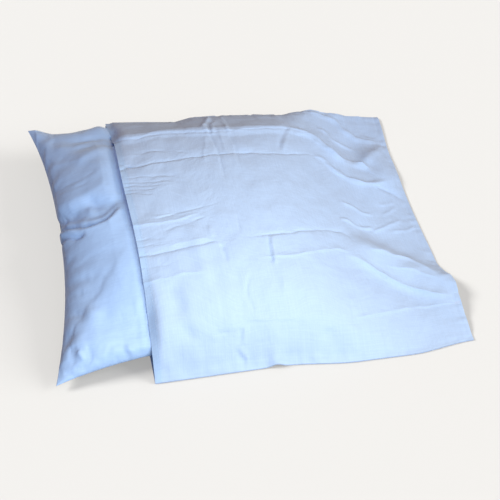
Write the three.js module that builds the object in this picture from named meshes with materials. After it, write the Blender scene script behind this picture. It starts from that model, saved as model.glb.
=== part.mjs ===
// A square pillow protector: a flat cotton bag, sewn on three sides and open at one end, drawn most
// of the way over a filled pillow. The pillow stands out of the open end, and the closed end lies empty.
// Millimetres, +Z up. The origin is the middle of the bag's base, on the surface that it lies on.
// +X runs towards the closed end and +Y towards the back.

import * as THREE from "three";

// --- Driving dimensions ---

const CLOTH = 1.6; // thickness of one panel of the bag
const SEAM_GAP = 0.3; // between the rims of the two panels, and under the pillow
const COVER_GAP = 3; // between the pillow and the panel over it
const COVER_REACH = 11; // and how far sideways a panel keeps that gap
const CROWN = 98; // the pillow's rise above its own seam, at the middle
const SIDE_FULLNESS = { power: 2.3, root: 0.5 }; // how squarely the pillow swells between its sides
const SIDE_DRAW_POWER = 2.2; // how soon a drawn-in side leaves its corners
const BASE_SPREAD = 1.75; // how far the pillow's weight flattens its base
const EASE = 14; // rounding between the flattened base and the sides

// The pillow's four corners: place in plan, and height of the seam above the surface.
const PILLOW_CORNERS = {
  frontLeft: { x: -509, y: -314, z: 15 },
  frontRight: { x: 122, y: -306, z: 12 },
  backLeft: { x: -506, y: 321, z: 60 },
  backRight: { x: 132, y: 313, z: 43 },
};

// How far each side is drawn in between its corners by the filling, and how far its seam lifts.
const PILLOW_SIDES = {
  front: { draw: 26, lift: 16 },
  back: { draw: 30, lift: -4 },
  left: { draw: 44, lift: 16 },
  right: { draw: 40, lift: 4 },
};

// Creases in the pillow's cover: a line in plan from (x, y) to (toX, toY), its depth and half width.
const PILLOW_CREASES = [
  { name: "waist", x: -480, y: -2, toX: -330, toY: 52, depth: 15, reach: 19 },
  { name: "cheek", x: -470, y: -40, toX: -430, toY: -16, depth: 7, reach: 16 },
  { name: "brow", x: -470, y: 180, toX: -340, toY: 205, depth: 5, reach: 22 },
];

// The bag's seam, side by side: plan position and height of the seam above the surface.
const FRONT_SEAM = [
  { x: -325, y: -325, z: 0 },
  { x: -80, y: -324, z: 0 },
  { x: 80, y: -338, z: 0 },
  { x: 190, y: -341, z: 0 },
  { x: 325, y: -327, z: 0 },
];
const RIGHT_SEAM = [
  { x: 325, y: -327, z: 0 },
  { x: 326, y: -280, z: 8 },
  { x: 327, y: -229, z: 20 },
  { x: 327, y: -192, z: 29 },
  { x: 327, y: -166, z: 22 },
  { x: 324, y: -145, z: 7 },
  { x: 318, y: -130, z: 0 },
  { x: 313, y: 40, z: 0 },
  { x: 317, y: 190, z: 0 },
  { x: 328, y: 331, z: 2 },
];
const BACK_SEAM = [
  { x: -325, y: 309, z: 48 },
  { x: -190, y: 306, z: 48 },
  { x: 20, y: 311, z: 37 },
  { x: 95, y: 318, z: 39 },
  { x: 140, y: 326, z: 46 },
  { x: 195, y: 328, z: 31 },
  { x: 255, y: 328, z: 13 },
  { x: 328, y: 331, z: 2 },
];
const OPEN_HEM = [
  { x: -325, y: -325, z: 0 },
  { x: -326, y: -150, z: 0 },
  { x: -333, y: 110, z: 0 },
  { x: -325, y: 309, z: 52 },
];

// Folds of the empty end: a line in plan, its height (a trough is negative) and half width.
const FOLDS = [
  { name: "long ridge", x: 165, y: -98, toX: 345, toY: -186, height: 17, reach: 22 },
  { name: "trough before it", x: 160, y: -150, toX: 300, toY: -226, height: -11, reach: 26 },
  { name: "trough behind it", x: 160, y: -40, toX: 325, toY: -120, height: -10, reach: 24 },
  { name: "slanting ridge", x: 140, y: 205, toX: 232, toY: 92, height: 10, reach: 22 },
  { name: "bulge", x: 262, y: 182, toX: 282, toY: 128, height: 19, reach: 26 },
  { name: "hollow beside it", x: 215, y: 225, toX: 228, toY: 160, height: -8, reach: 22 },
];

const PILLOW_CELLS = 22; // cells along each side of the pillow
const PANEL_CELLS = 30; // cells along each side of a panel
const END_SLIP = { from: 0.2, to: 0.95, most: 0.2 }; // how the panels' grain swings to the front at the empty end
const SETTLE_ROUNDS = 900; // sweeps until a panel lies still
const TOP_SAG = 0.22; // how much a free cell of the top panel sinks at each sweep
const BASE_SAG = 0.05; // the same, for the panel under the pillow

// --- Curves and patches ---

const smooth = (t) => t * t * (3 - 2 * t);

// A point along a table of stations, eased from one to the next; t runs from -1 to 1 along the table's key.
function alongStations(rows, key, t) {
  const first = rows[0][key];
  const last = rows[rows.length - 1][key];
  const at = THREE.MathUtils.lerp(first, last, (1 + t) / 2);
  let i = 0;
  while (i < rows.length - 2 && at > rows[i + 1][key]) i += 1;
  const [from, to] = [rows[i], rows[i + 1]];
  const share = THREE.MathUtils.clamp((at - from[key]) / (to[key] - from[key]), 0, 1);
  const eased = smooth(share);
  const point = new THREE.Vector3(
    THREE.MathUtils.lerp(from.x, to.x, eased),
    THREE.MathUtils.lerp(from.y, to.y, eased),
    THREE.MathUtils.lerp(from.z, to.z, eased),
  );
  point[key] = at;
  return point;
}

// A side of the pillow between two corners, drawn in along the inward direction and lifted.
function drawnSide(from, to, inward, side, t) {
  const point = new THREE.Vector3().copy(from).lerp(to, (1 + t) / 2);
  const draw = side.draw * (1 - Math.abs(t) ** SIDE_DRAW_POWER);
  point.addScaledVector(inward, draw);
  point.z += side.lift * (1 - t * t);
  return point;
}

// The surface stretched between four edges (a Coons patch), u and v from -1 to 1.
function patch(edges, u, v) {
  const a = (1 + u) / 2;
  const b = (1 + v) / 2;
  const across = edges.front(u).multiplyScalar(1 - b).add(edges.back(u).multiplyScalar(b));
  const along = edges.left(v).multiplyScalar(1 - a).add(edges.right(v).multiplyScalar(a));
  const corners = edges
    .front(-1)
    .multiplyScalar((1 - a) * (1 - b))
    .add(edges.front(1).multiplyScalar(a * (1 - b)))
    .add(edges.back(-1).multiplyScalar((1 - a) * b))
    .add(edges.back(1).multiplyScalar(a * b));
  return across.add(along).sub(corners);
}

const corner = (name) => {
  const { x, y, z } = PILLOW_CORNERS[name];
  return new THREE.Vector3(x, y, z);
};
const [TOWARDS_BACK, TOWARDS_RIGHT] = [new THREE.Vector3(0, 1, 0), new THREE.Vector3(1, 0, 0)];
const [TOWARDS_FRONT, TOWARDS_LEFT] = [TOWARDS_BACK.clone().negate(), TOWARDS_RIGHT.clone().negate()];

const pillowEdges = {
  front: (t) =>
    drawnSide(corner("frontLeft"), corner("frontRight"), TOWARDS_BACK, PILLOW_SIDES.front, t),
  back: (t) =>
    drawnSide(corner("backLeft"), corner("backRight"), TOWARDS_FRONT, PILLOW_SIDES.back, t),
  left: (t) =>
    drawnSide(corner("frontLeft"), corner("backLeft"), TOWARDS_RIGHT, PILLOW_SIDES.left, t),
  right: (t) =>
    drawnSide(corner("frontRight"), corner("backRight"), TOWARDS_LEFT, PILLOW_SIDES.right, t),
};

const bagEdges = {
  front: (t) => alongStations(FRONT_SEAM, "x", t),
  back: (t) => alongStations(BACK_SEAM, "x", t),
  left: (t) => alongStations(OPEN_HEM, "y", t),
  right: (t) => alongStations(RIGHT_SEAM, "y", t),
};

// --- The pillow ---

// 1 in the middle of the pillow and 0 on its seam.
function fullness(u, v) {
  const swell = (t) => Math.max(0, 1 - Math.abs(t) ** SIDE_FULLNESS.power) ** SIDE_FULLNESS.root;
  return swell(u) * swell(v);
}

// A soft line in plan: 1 on it, falling to 0 sideways and at its ends.
function nearLine({ x, y, toX, toY, reach }, px, py) {
  const [dx, dy] = [toX - x, toY - y];
  const length = Math.hypot(dx, dy);
  const along = ((px - x) * dx + (py - y) * dy) / length;
  const aside = ((px - x) * dy - (py - y) * dx) / length;
  const past = Math.max(0, -along, along - length);
  return Math.exp(-(aside ** 2 + past ** 2) / (2 * reach ** 2));
}

function pillowTop(u, v) {
  const point = patch(pillowEdges, u, v);
  const full = fullness(u, v);
  const creased = PILLOW_CREASES.reduce(
    (sum, crease) => sum + crease.depth * nearLine(crease, point.x, point.y),
    0,
  );
  point.z += CROWN * full - creased * Math.min(1, 3 * full);
  return point;
}

function pillowBase(u, v) {
  const point = patch(pillowEdges, u, v);
  const rest = CLOTH + SEAM_GAP;
  const sunk = point.z - (point.z - rest) * BASE_SPREAD * fullness(u, v);
  // A rounded floor: the base meets the cloth flat, and leaves it in a curve.
  point.z = rest + (sunk > rest + EASE ? sunk - rest : Math.max(0, sunk - rest + EASE) ** 2 / (4 * EASE));
  return point;
}

// The u and v of the pillow under a place in plan.
function pillowAt(x, y) {
  const { frontLeft, backRight } = PILLOW_CORNERS;
  const halfX = (backRight.x - frontLeft.x) / 2;
  const halfY = (backRight.y - frontLeft.y) / 2;
  let u = (x - frontLeft.x) / halfX - 1;
  let v = (y - frontLeft.y) / halfY - 1;
  for (let round = 0; round < 16; round += 1) {
    const point = patch(pillowEdges, u, v);
    u += (x - point.x) / halfX;
    v += (y - point.y) / halfY;
  }
  return { u, v, inside: Math.abs(u) < 1 && Math.abs(v) < 1 };
}

// The extreme height of the pillow's surface near a place, so that cloth also clears it sideways.
function pillowNear(x, y, surface, extreme, none) {
  let height = none;
  for (let turn = 0; turn < 9; turn += 1) {
    const reach = turn === 8 ? 0 : COVER_REACH;
    const angle = (turn * Math.PI) / 4;
    const { u, v, inside } = pillowAt(x + reach * Math.cos(angle), y + reach * Math.sin(angle));
    if (inside) height = extreme(height, surface(u, v).z);
  }
  return height;
}

// --- The two panels ---

// Grid lines along a side, closer together towards both ends.
function gridLines(cells) {
  const lines = [];
  for (let i = 0; i <= cells; i += 1) {
    const even = -1 + (2 * i) / cells;
    lines.push(0.62 * Math.sin((even * Math.PI) / 2) + 0.38 * even);
  }
  return lines;
}

const panelLines = gridLines(PANEL_CELLS);

// Runs a function over the grid, with the indices of each node.
function overGrid(cells, visit) {
  return Array.from({ length: cells + 1 }, (_, i) =>
    Array.from({ length: cells + 1 }, (_, j) => visit(i, j)),
  );
}

const panelPlan = overGrid(PANEL_CELLS, (i, j) => {
  const [u, v] = [panelLines[i], panelLines[j]];
  const swung = THREE.MathUtils.smoothstep(u, END_SLIP.from, END_SLIP.to);
  return patch(bagEdges, u, v - END_SLIP.most * swung * (1 - v * v));
});

// On the three sewn sides a node keeps its seam's height; the open hem is free.
const isSewn = (i, j) => i === PANEL_CELLS || j === 0 || j === PANEL_CELLS;

// Lets cloth settle between what lies under and over it: each free node sinks towards the mean of its neighbours.
function settle(start, under, over, sag) {
  const height = start.map((column) => column.slice());
  const neighbours = [[-1, 0], [1, 0], [0, -1], [0, 1]];
  for (let round = 0; round < SETTLE_ROUNDS; round += 1) {
    for (let i = 0; i <= PANEL_CELLS; i += 1) {
      for (let j = 0; j <= PANEL_CELLS; j += 1) {
        if (isSewn(i, j)) continue;
        const here = panelPlan[i][j];
        let [sum, weight] = [0, 0];
        for (const [di, dj] of neighbours) {
          const there = panelPlan[i + di]?.[j + dj];
          if (!there) continue;
          const pull = 1 / Math.hypot(there.x - here.x, there.y - here.y);
          sum += pull * height[i + di][j + dj];
          weight += pull;
        }
        const hung = sum / weight - sag;
        height[i][j] = Math.min(over[i][j], Math.max(under[i][j], hung));
      }
    }
  }
  return height;
}

// The vertical thickness that gives the cloth its own thickness across a slope.
function steepness(height) {
  const at = (i, j) => new THREE.Vector3(panelPlan[i][j].x, panelPlan[i][j].y, height[i][j]);
  const last = PANEL_CELLS;
  return overGrid(PANEL_CELLS, (i, j) => {
    const across = at(Math.min(i + 1, last), j).sub(at(Math.max(i - 1, 0), j));
    const along = at(i, Math.min(j + 1, last)).sub(at(i, Math.max(j - 1, 0)));
    const normal = across.cross(along).normalize();
    return Math.min(2.5, 1 / normal.z);
  });
}

// Closes two sheets of nodes, one over the other, into one solid.
function closedSheets(cells, upper, lower, rimIsShared) {
  const positions = [];
  const triangles = [];
  const place = (point) => {
    positions.push(point.x, point.y, point.z);
    return positions.length / 3 - 1;
  };
  const onRim = (i, j) => i === 0 || j === 0 || i === cells || j === cells;
  const top = overGrid(cells, (i, j) => place(upper(i, j)));
  const bottom = overGrid(cells, (i, j) =>
    rimIsShared && onRim(i, j) ? top[i][j] : place(lower(i, j)),
  );
  const quad = (a, b, c, d) => triangles.push(a, b, c, a, c, d);
  for (let i = 0; i < cells; i += 1) {
    for (let j = 0; j < cells; j += 1) {
      quad(top[i][j], top[i + 1][j], top[i + 1][j + 1], top[i][j + 1]);
      quad(bottom[i][j], bottom[i][j + 1], bottom[i + 1][j + 1], bottom[i + 1][j]);
    }
  }
  if (!rimIsShared) {
    for (let k = 0; k < cells; k += 1) {
      quad(bottom[k][0], bottom[k + 1][0], top[k + 1][0], top[k][0]);
      quad(bottom[k + 1][cells], bottom[k][cells], top[k][cells], top[k + 1][cells]);
      quad(bottom[0][k + 1], bottom[0][k], top[0][k], top[0][k + 1]);
      quad(bottom[cells][k], bottom[cells][k + 1], top[cells][k + 1], top[cells][k]);
    }
  }
  const geometry = new THREE.BufferGeometry();
  geometry.setAttribute("position", new THREE.Float32BufferAttribute(positions, 3));
  geometry.setIndex(triangles);
  geometry.computeVertexNormals();
  return geometry;
}

function pillowGeometry() {
  const lines = gridLines(PILLOW_CELLS);
  return closedSheets(
    PILLOW_CELLS,
    (i, j) => pillowTop(lines[i], lines[j]),
    (i, j) => pillowBase(lines[i], lines[j]),
    true,
  );
}

function panelGeometry(height, thick) {
  const sheet = (rise) => (i, j) => {
    const { x, y } = panelPlan[i][j];
    return new THREE.Vector3(x, y, height[i][j] + rise * thick[i][j]);
  };
  return closedSheets(PANEL_CELLS, sheet(CLOTH), sheet(0), false);
}

// The lower panel lies on the surface, and rises behind the pillow to the back seam.
const baseUnder = overGrid(PANEL_CELLS, () => 0);
const baseOver = overGrid(PANEL_CELLS, (i, j) => {
  const { x, y } = panelPlan[i][j];
  const pillow = pillowNear(x, y, pillowBase, Math.min, Infinity);
  return Math.max(0, pillow - CLOTH - COVER_GAP);
});
const baseStart = overGrid(PANEL_CELLS, (i, j) => (isSewn(i, j) ? Math.max(0, panelPlan[i][j].z) : 0));
const baseHeight = settle(baseStart, baseUnder, baseOver, BASE_SAG);
const baseThick = steepness(baseHeight);

// The upper panel hangs over the pillow and lies on the lower panel where the bag is empty.
const topUnder = overGrid(PANEL_CELLS, (i, j) => {
  const { x, y } = panelPlan[i][j];
  const pillow = pillowNear(x, y, pillowTop, Math.max, -Infinity) + COVER_GAP;
  const base = baseHeight[i][j] + CLOTH * baseThick[i][j] + SEAM_GAP;
  return Math.max(pillow, base);
});
const topOver = overGrid(PANEL_CELLS, () => Infinity);
const topHung = settle(topUnder, topUnder, topOver, TOP_SAG);
const topHeight = overGrid(PANEL_CELLS, (i, j) => {
  if (isSewn(i, j)) return topHung[i][j];
  const { x, y } = panelPlan[i][j];
  const folded = FOLDS.reduce((sum, fold) => sum + fold.height * nearLine(fold, x, y), topHung[i][j]);
  return Math.max(topUnder[i][j], folded);
});

// --- The object ---

const protectorCloth = new THREE.MeshStandardMaterial({ color: 0xcfe1fa, roughness: 0.85, metalness: 0 });
const pillowCover = new THREE.MeshStandardMaterial({ color: 0xa9c4ef, roughness: 0.55, metalness: 0 });

const group = new THREE.Group();
const pieces = [
  ["pillow", pillowGeometry(), pillowCover],
  ["protector_base_panel", panelGeometry(baseHeight, baseThick), protectorCloth],
  ["protector_top_panel", panelGeometry(topHeight, steepness(topHeight)), protectorCloth],
];
for (const [name, geometry, material] of pieces) {
  const mesh = new THREE.Mesh(geometry, material);
  mesh.name = name;
  group.add(mesh);
}

export default group;
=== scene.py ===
"""A square cotton pillow protector, drawn most of the way over a filled pillow: its finished look.

Lengths in the tables are millimetres in the part's own frame: +X towards the protector's closed end,
+Y towards its back seam, +Z up. Everything else is metres.
"""

import math

import bpy
import numpy as np
from bpy.props import FloatProperty, FloatVectorProperty, IntProperty, PointerProperty
from mathutils import Matrix, Vector
from mathutils.bvhtree import BVHTree
from mathutils.kdtree import KDTree


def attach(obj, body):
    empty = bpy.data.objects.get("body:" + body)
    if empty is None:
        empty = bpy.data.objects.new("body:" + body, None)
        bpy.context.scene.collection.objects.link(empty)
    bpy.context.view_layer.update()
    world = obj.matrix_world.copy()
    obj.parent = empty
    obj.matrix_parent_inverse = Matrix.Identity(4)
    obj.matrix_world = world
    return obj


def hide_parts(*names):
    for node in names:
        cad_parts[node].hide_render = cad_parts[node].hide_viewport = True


bl_info = {
    "name": "Pillow Protector",
    "version": (1, 0, 0),
    "blender": (4, 5, 0),
    "location": "View3D > Sidebar > Protector",
    "description": "A cotton pillow protector drawn over a filled pillow, on a pale floor",
    "category": "Object",
}

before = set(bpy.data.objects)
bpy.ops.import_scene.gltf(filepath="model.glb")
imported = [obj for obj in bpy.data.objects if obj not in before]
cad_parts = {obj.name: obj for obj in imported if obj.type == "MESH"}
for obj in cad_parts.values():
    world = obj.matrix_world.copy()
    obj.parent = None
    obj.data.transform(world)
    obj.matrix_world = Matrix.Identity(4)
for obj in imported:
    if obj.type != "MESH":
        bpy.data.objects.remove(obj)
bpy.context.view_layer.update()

MM = 0.001
X, Y, Z = 0, 1, 2


# --- Colour and nodes ---


def hex_linear(text):
    """An sRGB hex colour as linear red, green, blue and alpha."""
    parts = [int(text[i : i + 2], 16) / 255 for i in (1, 3, 5)]
    return tuple(c / 12.92 if c <= 0.04045 else ((c + 0.055) / 1.055) ** 2.4 for c in parts) + (1.0,)


def add_node(tree, kind, settings=(), **inputs):
    """Adds a node with its settings, and sets or links each input by its name."""
    node = tree.nodes.new(kind)
    for name, value in dict(settings).items():
        setattr(node, name, value)
    for name, value in inputs.items():
        socket = node.inputs[int(name[1:])] if name[1:].isdigit() else node.inputs[name.replace("_", " ")]
        if isinstance(value, bpy.types.NodeSocket):
            tree.links.new(value, socket)
        else:
            socket.default_value = value
    return node


def new_material(name):
    """An empty material, with its node tree and output."""
    material = bpy.data.materials.new(name)
    material.use_nodes = True
    tree = material.node_tree
    tree.nodes.clear()
    return material, tree


# --- Seams, after the part's own source ---

# The protector's seam and its open hem: (x, y, z) at each station, z above the surface. In plan they
# keep within about 8 mm of the source's, but for the hem's back end, which stands 11 mm further out.
FRONT_SEAM = [(-325, -328, 0), (-80, -327, 0), (80, -341, 0), (190, -342, 0), (328, -328, 0)]
RIGHT_SEAM = [
    (328, -328, 0), (328, -280, 8), (327, -229, 20), (327, -196, 29), (326, -173, 22),
    (323, -153, 7), (318, -138, 0), (313, 40, 0), (315, 190, 0), (325, 331, 2),
]
BACK_SEAM = [
    (-336, 309, 48), (-190, 306, 48), (20, 311, 37), (95, 318, 39), (140, 326, 46),
    (195, 328, 31), (255, 328, 13), (325, 331, 2),
]
OPEN_HEM = [(-325, -328, 0), (-326, -150, 0), (-333, 110, 0), (-332, 225, 0), (-336, 309, 48)]

# The pillow's corners, and how far each side is drawn in and its seam lifted, as in the source.
FRONT_LEFT, FRONT_RIGHT = np.array([(-509, -314, 15), (122, -306, 12)]) * MM
BACK_LEFT, BACK_RIGHT = np.array([(-506, 321, 60), (132, 313, 43)]) * MM
PILLOW_SIDES = {"front": (26, 16), "back": (30, -4), "left": (44, 16), "right": (40, 4)}

BAG_HALF = 0.325  # half the protector's side, sewn flat
PILLOW_HALF = 0.315  # about half the pillow's side
DRAW_POWER = 2.2  # how soon a drawn-in side leaves its corners
SWELL_POWER = 2.3  # how squarely the pillow swells between its sides
BASE_SPREAD = 1.75  # how far the pillow's weight flattens its base
BASE_REST = 0.0019  # height at which the flattened base lies
BASE_EASE = 0.014  # rounding between the flattened base and the sides
UNDER_CLOTH = 0.0036  # how far the pillow is set below the protector, before its folds and lumps
BESIDE_HEM = 0.0015  # how much lower still it is set where it shows beside the hem
CASING_REST = 0.0012  # lowest height of the casing
TOP_LOWERED = 0.0003  # how far the top panel is set below the upper side of its solid
TOP_REST = 0.0030  # lowest height of the top panel's upper side
LINE_ROUNDING = 0.0006  # rounding of a pressed crease along its line
WELD = 0.0002  # points of the casing's two sides that lie closer than this become one

HEIGHT_LINES = 131  # lines each way at which the top panel's solid is measured
COVER_LINES = 101  # lines each way of the cloth that the pillow is fitted under
HEIGHT_ROUNDS = 12  # rounds of easing that take the solid's facets out of its heights
WRINKLE_ROUNDS = 60  # rounds of easing that part a pressed casing's bulge from its wrinkles
PRESS_FRAMES = 20  # frames for which the filling presses the casing out


def along_seam(rows, key, t):
    """Points along a seam's stations, eased from one to the next; t runs from -1 to 1."""
    table = np.array(rows, float) * MM
    at = table[0, key] + (table[-1, key] - table[0, key]) * (1 + t) / 2
    i = np.clip(np.searchsorted(table[:, key], at, side="right") - 1, 0, len(table) - 2)
    share = np.clip((at - table[i, key]) / (table[i + 1, key] - table[i, key]), 0, 1)
    eased = share**2 * (3 - 2 * share)
    points = table[i] + (table[i + 1] - table[i]) * eased[:, None]
    points[:, key] = at
    return points


def drawn_side(start, end, inward, side, t):
    """Points along a side of the pillow, drawn in and lifted between its corners."""
    draw, lift = (size * MM for size in PILLOW_SIDES[side])
    points = start + (end - start) * ((1 + t) / 2)[:, None]
    points += np.outer(draw * (1 - np.abs(t) ** DRAW_POWER), inward)
    points[:, Z] += lift * (1 - t * t)
    return points


def patch(front, back, left, right, u, v):
    """The surface stretched between four edges, u and v from -1 to 1."""
    a, b = ((1 + u) / 2)[:, None], ((1 + v) / 2)[:, None]
    ends = np.array([-1.0, 1.0])
    f, k = front(ends), back(ends)
    corners = f[0] * (1 - a) * (1 - b) + f[1] * a * (1 - b) + k[0] * (1 - a) * b + k[1] * a * b
    return front(u) * (1 - b) + back(u) * b + left(v) * (1 - a) + right(v) * a - corners


def bag_plan(u, v):
    """Where a point of either panel lies in plan, with its grain swung to the front at the empty end."""
    share = np.clip((u - 0.2) / 0.75, 0, 1)
    swung = v - 0.2 * share**2 * (3 - 2 * share) * (1 - v * v)
    return patch(
        lambda t: along_seam(FRONT_SEAM, X, t),
        lambda t: along_seam(BACK_SEAM, X, t),
        lambda t: along_seam(OPEN_HEM, Y, t),
        lambda t: along_seam(RIGHT_SEAM, Y, t),
        u,
        swung,
    )


def pillow_plan(u, v):
    """The pillow's seam plane, stretched between its four drawn-in sides."""
    return patch(
        lambda t: drawn_side(FRONT_LEFT, FRONT_RIGHT, (0, 1, 0), "front", t),
        lambda t: drawn_side(BACK_LEFT, BACK_RIGHT, (0, -1, 0), "back", t),
        lambda t: drawn_side(FRONT_LEFT, BACK_LEFT, (1, 0, 0), "left", t),
        lambda t: drawn_side(FRONT_RIGHT, BACK_RIGHT, (-1, 0, 0), "right", t),
        u,
        v,
    )


# --- Creases ---

# Each crease: kind, half width, height (a trough is negative), and its line in plan, from end to end.
# "pressed" is the crease that folding in a packet leaves, wide on the left of its line and narrow on
# the right. "soft" is rounded, and "lap" rises on the left and sinks on the right. "turn" is a fold
# line to which the cloth climbs straight, from the whole width on the left and 0.3 of it on the right.
PACKET_CREASES = [
    ("turn", 60, 4.0, [
        (-420, 212), (-340, 208), (-316, 203), (-294, 197), (-265, 201), (-245, 206), (-188, 208),
        (-135, 203), (-82, 202), (-22, 211), (59, 228), (109, 224), (150, 205),
    ]),
    ("pressed", 5, -1.2, [
        (-420, 204), (-340, 200), (-316, 195), (-294, 190), (-265, 194), (-245, 199), (-188, 201),
        (-135, 196), (-60, 198),
    ]),
    ("pressed", 4, -0.9, [(-60, 202), (-22, 208), (17, 216), (62, 225), (112, 222)]),
    ("soft", 9, 3.8, [
        (62, 229), (109, 224), (134, 207), (165, 170), (186, 156), (223, 155), (268, 130),
    ]),
    ("pressed", 5, 1.7, [
        (99, 229), (125, 221), (135, 202), (153, 181), (169, 163), (201, 160), (229, 152), (250, 128),
        (270, 114),
    ]),
    ("pressed", 4, 1.0, [(67, 217), (106, 215), (145, 183), (163, 168)]),
    ("pressed", 6, -2.1, [
        (-420, 92), (-331, 101), (-318, 108), (-297, 101), (-263, 107), (-209, 112), (-163, 117),
        (-115, 123), (-59, 128), (-1, 133), (38, 139), (62, 147), (89, 155), (124, 152), (140, 134),
    ]),
    ("pressed", 3, -1.2, [(-345, 122), (-331, 117), (-318, 109), (-306, 104)]),
    ("soft", 7, 2.8, [
        (98, 160), (124, 154), (140, 138), (156, 120), (176, 106), (215, 96), (244, 98), (280, 108),
    ]),
    ("pressed", 4, 1.4, [
        (93, 156), (122, 152), (133, 138), (148, 121), (167, 110), (194, 102), (222, 95), (253, 99),
        (290, 113),
    ]),
    ("pressed", 4, -0.9, [(-300, 138), (-280, 141), (-249, 145), (-198, 134), (-180, 131)]),
    ("pressed", 6, 1.7, [(-420, -48), (-330, -52), (-303, -55), (-267, -55), (-234, -52), (-187, -38)]),
    ("pressed", 4, -1.0, [(-290, -45), (-239, -37), (-163, -22)]),
    ("pressed", 4, -0.9, [(-276, -78), (-205, -58), (-180, -50)]),
    ("pressed", 6, -2.1, [
        (-420, -116), (-330, -121), (-306, -123), (-278, -121), (-217, -117), (-184, -111),
        (-150, -112),
    ]),
    ("pressed", 3.5, 0.8, [(-272, -111), (-234, -106), (-182, -102)]),
    ("pressed", 6, -2.0, [
        (-120, -106), (-60, -99), (1, -87), (73, -65), (115, -62), (136, -82), (151, -103),
    ]),
    ("pressed", 6, 1.6, [
        (-420, -172), (-330, -174), (-310, -176), (-287, -176), (-248, -171), (-190, -177),
    ]),
    ("pressed", 6, 1.7, [(-99, -152), (-29, -146), (27, -131), (83, -112), (104, -112), (124, -120)]),
    ("pressed", 6, 1.3, [(60, -280), (78, -270), (160, -250), (240, -238), (330, -244)]),
    ("pressed", 5, 0.9, [(-154, -264), (-95, -267), (-34, -269)]),
    ("pressed", 5, -0.8, [(-214, -280), (-156, -278)]),
]
# Short ribs beside the hem, where the packet's edge lay across the cloth.
HEM_RIBS = [
    ("pressed", 3, -0.9, [(-330, 76), (-294, 71), (-257, 66), (-218, 64)]),
    ("pressed", 3, -0.9, [(-340, 64), (-304, 58), (-272, 53), (-239, 51), (-215, 50)]),
    ("pressed", 3, -0.9, [(-340, 54), (-309, 50), (-280, 44), (-251, 42)]),
    ("pressed", 3, -0.8, [(-340, 44), (-314, 41), (-289, 35), (-264, 32)]),
    ("pressed", 3, -0.8, [(-340, 34), (-312, 30), (-296, 25), (-272, 19)]),
    ("pressed", 3, 0.8, [(-296, -30), (-279, -39), (-254, -38), (-212, -36)]),
    ("pressed", 3, -0.6, [(-340, -84), (-318, -86), (-270, -90)]),
    ("pressed", 3, -0.6, [(-340, -99), (-318, -101), (-262, -104)]),
    ("pressed", 3, -0.5, [(-340, -146), (-312, -148), (-262, -150)]),
]
CROSS_CREASES = [
    ("soft", 5.5, 3.2, [(-104, 312), (-112, 280), (-124, 246), (-136, 217), (-130, 198), (-127, 180)]),
    ("lap", 4, 1.2, [(-100, 262), (-116, 236), (-121, 210), (-126, 183)]),
    ("soft", 4, 1.6, [(-74, 306), (-80, 270), (-83, 231), (-85, 197), (-83, 176)]),
    ("pressed", 4, -1.3, [(-127, 200), (-126, 183), (-122, 129), (-124, 91), (-124, 45)]),
    ("pressed", 4, 1.0, [(-103, 222), (-105, 180), (-105, 141), (-101, 118)]),
    ("pressed", 4, -0.9, [(-84, 196), (-82, 160), (-82, 129), (-82, 90)]),
    ("pressed", 4, 0.9, [(-138, 196), (-144, 165), (-151, 137), (-157, 90)]),
    ("lap", 5, 1.5, [(69, 238), (61, 226), (42, 189), (24, 142)]),
    ("pressed", 3, -0.8, [(-121, -48), (-121, -70), (-125, -100)]),
    ("soft", 4, -1.3, [(-165, -116), (-161, -136), (-159, -158)]),
    ("soft", 4, 1.0, [(-185, -73), (-176, -102)]),
    ("lap", 3.5, 1.8, [(-60, -97), (-67, -138), (-68, -170)]),
    ("soft", 4, -1.2, [(-118, -180), (-132, -217), (-121, -256)]),
    ("soft", 5, 1.1, [(-56, -189), (-59, -237)]),
    ("soft", 16, -2.8, [(-278, -180), (-261, -253), (-250, -290)]),
    ("lap", 5, 0.9, [(-149, -271), (-154, -298)]),
    ("lap", 4, 1.6, [(-166, -297), (-156, -306), (-143, -318)]),
    ("soft", 14, -2.2, [(21, -283), (32, -312), (40, -334)]),
    ("soft", 10, -1.7, [(81, -232), (81, -292)]),
    ("soft", 13, 1.2, [(-214, -60), (-206, -160), (-196, -250)]),
    ("soft", 12, -1.1, [(-150, -170), (-144, -240), (-136, -280)]),
    ("soft", 12, 1.0, [(-30, -150), (-22, -220), (-20, -290)]),
    ("soft", 11, -0.9, [(14, -140), (22, -215), (24, -270)]),
]
EMPTY_END_FOLDS = [
    ("pressed", 4, 1.4, [
        (140, 318), (161, 316), (191, 309), (207, 296), (217, 280), (238, 258), (262, 247), (308, 243),
    ]),
    ("soft", 7, 3.2, [
        (120, 316), (161, 314), (191, 307), (207, 294), (215, 278), (236, 256), (262, 244), (308, 240),
    ]),
    ("soft", 4, 1.5, [(251, 262), (270, 256), (306, 250)]),
    ("soft", 5, 2.6, [(140, 268), (166, 252), (176, 234), (210, 220), (230, 206)]),
    ("soft", 13, 5.0, [(214, 140), (229, 159), (252, 182), (275, 202), (298, 221), (312, 232)]),
    ("soft", 5, -2.4, [(240, 92), (273, 80), (306, 60)]),
    ("soft", 4, 2.0, [(132, 33), (168, 20), (184, 9), (212, 8)]),
    ("soft", 4, 2.2, [(112, -30), (131, -19), (154, -30), (174, -32), (206, -26)]),
    ("soft", 4, 2.0, [(184, -45), (241, -18), (282, 1)]),
    ("soft", 4, 1.8, [(240, -34), (276, -30), (306, -22)]),
    ("soft", 4, 1.2, [(232, 40), (278, 50)]),
    ("soft", 4, 1.2, [(228, 10), (282, 38)]),
    ("pressed", 13, 5.0, [
        (150, -100), (189, -109), (219, -119), (254, -127), (278, -152), (304, -176),
    ]),
    ("pressed", 5, 1.9, [(184, -134), (212, -144), (245, -152), (275, -168), (304, -184)]),
    ("pressed", 23, 10.0, [
        (100, -118), (128, -128), (150, -141), (178, -160), (207, -178), (240, -193), (267, -208),
        (300, -222), (322, -230),
    ]),
]
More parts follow.
